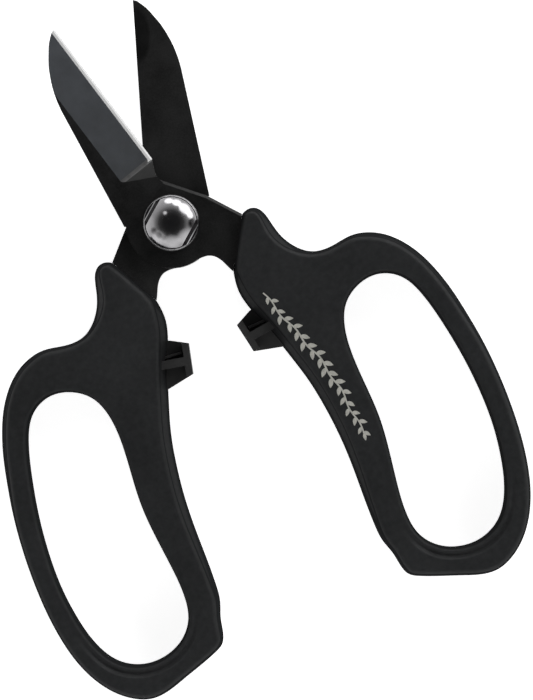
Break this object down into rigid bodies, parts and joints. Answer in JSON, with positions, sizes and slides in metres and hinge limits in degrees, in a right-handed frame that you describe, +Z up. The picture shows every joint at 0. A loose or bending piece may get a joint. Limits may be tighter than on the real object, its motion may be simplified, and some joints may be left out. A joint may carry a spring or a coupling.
{
  "type": "floral snips",
  "caption": "Bypass floral snips with slim bevelled blades on a domed pivot bolt, large soft-grip finger loops and ribbed stop bosses, shown open.",
  "frame": {"origin": "on the pivot axis, in the plane the snips lie on: the bolt's end face, level with both handles' undersides", "axes": "+Y from the pivot to the blade tips midway between the open blades, +Z up along the pivot axis out of the bolt head, +X to the right, towards the handle of the upper blade"},
  "size_m": [0.1322, 0.1718, 0.0131],
  "materials": {
    "coated_steel": "satin black non-stick coating on steel",
    "hard_plastic": "moulded, satin",
    "soft_grip": "soft-touch matt",
    "bolt_chrome": "bright plated",
    "zinc_steel": "zinc plated"
  },
  "bodies": {
    "lower_half": {"lower_blade": "coated_steel", "left_core": "hard_plastic", "left_grip": "soft_grip", "pivot_bolt": "bolt_chrome", "flat_washer": "zinc_steel", "disc_spring": "zinc_steel", "lock_nut": "zinc_steel"},
    "upper_half": {"upper_blade": "coated_steel", "right_core": "hard_plastic", "right_grip": "soft_grip"}
  },
  "joints": [
    {"name": "blade_pivot", "type": "hinge", "parent": "lower_half", "child": "upper_half", "pos_m": [0, 0, 0.0065], "axis": [0, 0, 1], "range_deg": [-24.3, 55]}
  ]
}
